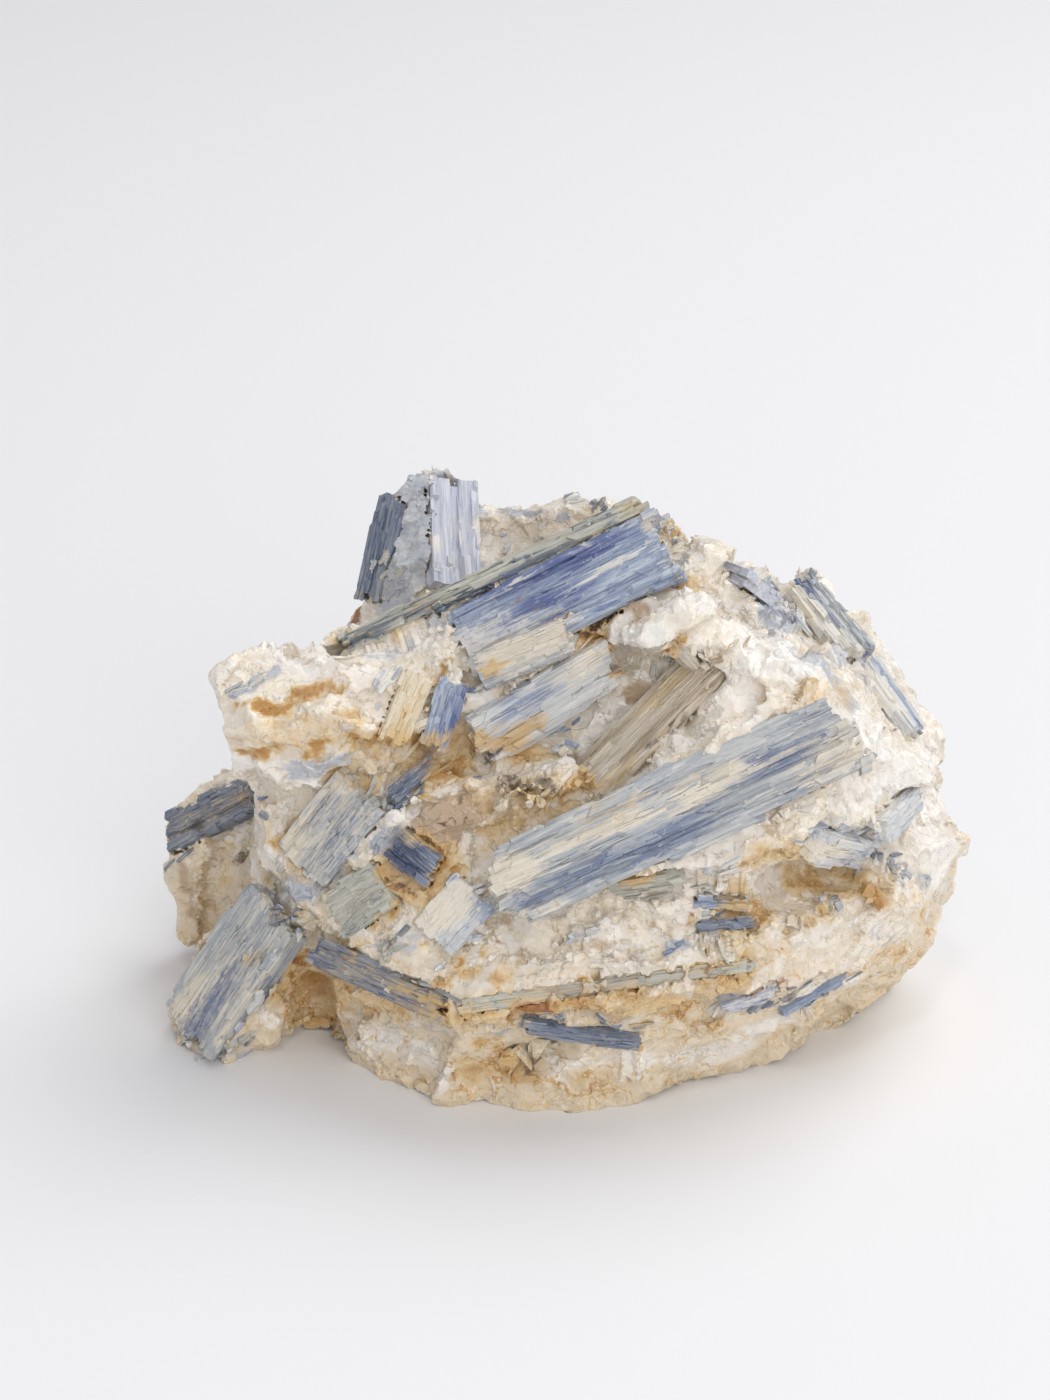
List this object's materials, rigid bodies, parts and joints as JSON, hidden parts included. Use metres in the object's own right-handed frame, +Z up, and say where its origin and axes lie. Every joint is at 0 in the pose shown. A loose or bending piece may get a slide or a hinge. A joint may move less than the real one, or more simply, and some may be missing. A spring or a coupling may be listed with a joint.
{
  "type": "kyanite blade cluster in quartz",
  "caption": "Palm-sized mineral specimen: striated blue kyanite blades grown in a rough lump of white, iron-stained quartz, broken off flat underneath.",
  "frame": {"origin": "middle of the object's box, on the flat underside that it rests on", "axes": "+X to the right of the front, along the specimen's longest side; +Y to the back; +Z up"},
  "size_m": [0.09, 0.0656, 0.0601],
  "materials": {
    "quartz": "rough broken white quartz with iron stains",
    "kyanite_blue": "striated deep blue kyanite, pearly",
    "kyanite_grey": "striated grey-blue kyanite",
    "kyanite_pale": "striated pale blue kyanite",
    "kyanite_green": "striated grey-green kyanite",
    "kyanite_dark": "dark blue kyanite",
    "kyanite_rusty": "kyanite stained ochre",
    "kyanite_smoky": "smoky brown-grey kyanite sheet",
    "kyanite_violet": "smooth violet-blue kyanite"
  },
  "bodies": {
    "root": {"quartz_matrix": "quartz", "summit_blade": "kyanite_blue", "summit_rim_blade": "kyanite_green", "collar_blade": "kyanite_grey", "pale_blade": "kyanite_pale", "small_blue_blade": "kyanite_blue", "rusty_blade": "kyanite_rusty", "smoky_sheet": "kyanite_smoky", "centre_blade": "kyanite_grey", "violet_plate": "kyanite_violet", "shoulder_blade_upper": "kyanite_grey", "shoulder_blade_lower": "kyanite_pale", "arc_blade": "kyanite_pale", "right_sliver": "kyanite_pale", "lens_blade": "kyanite_green", "waist_sliver_upper": "kyanite_pale", "waist_sliver_lower": "kyanite_dark", "hem_blade_upper": "kyanite_blue", "hem_blade_lower": "kyanite_blue", "ledge_blade": "kyanite_green", "lip_blade": "kyanite_dark", "under_ledge_blade": "kyanite_dark", "white_blade": "kyanite_pale", "pale_green_blade": "kyanite_green", "dark_stub": "kyanite_dark", "seam_blade": "kyanite_dark", "left_plate_blade": "kyanite_grey", "left_foot_blade": "kyanite_grey", "left_ear_blade": "kyanite_dark", "back_peak_blade_left": "kyanite_dark", "back_peak_blade_right": "kyanite_violet", "back_blade_upper": "kyanite_blue", "back_blade_lower": "kyanite_grey", "right_side_blade": "kyanite_grey", "left_side_blade": "kyanite_pale"}
  },
  "joints": []
}
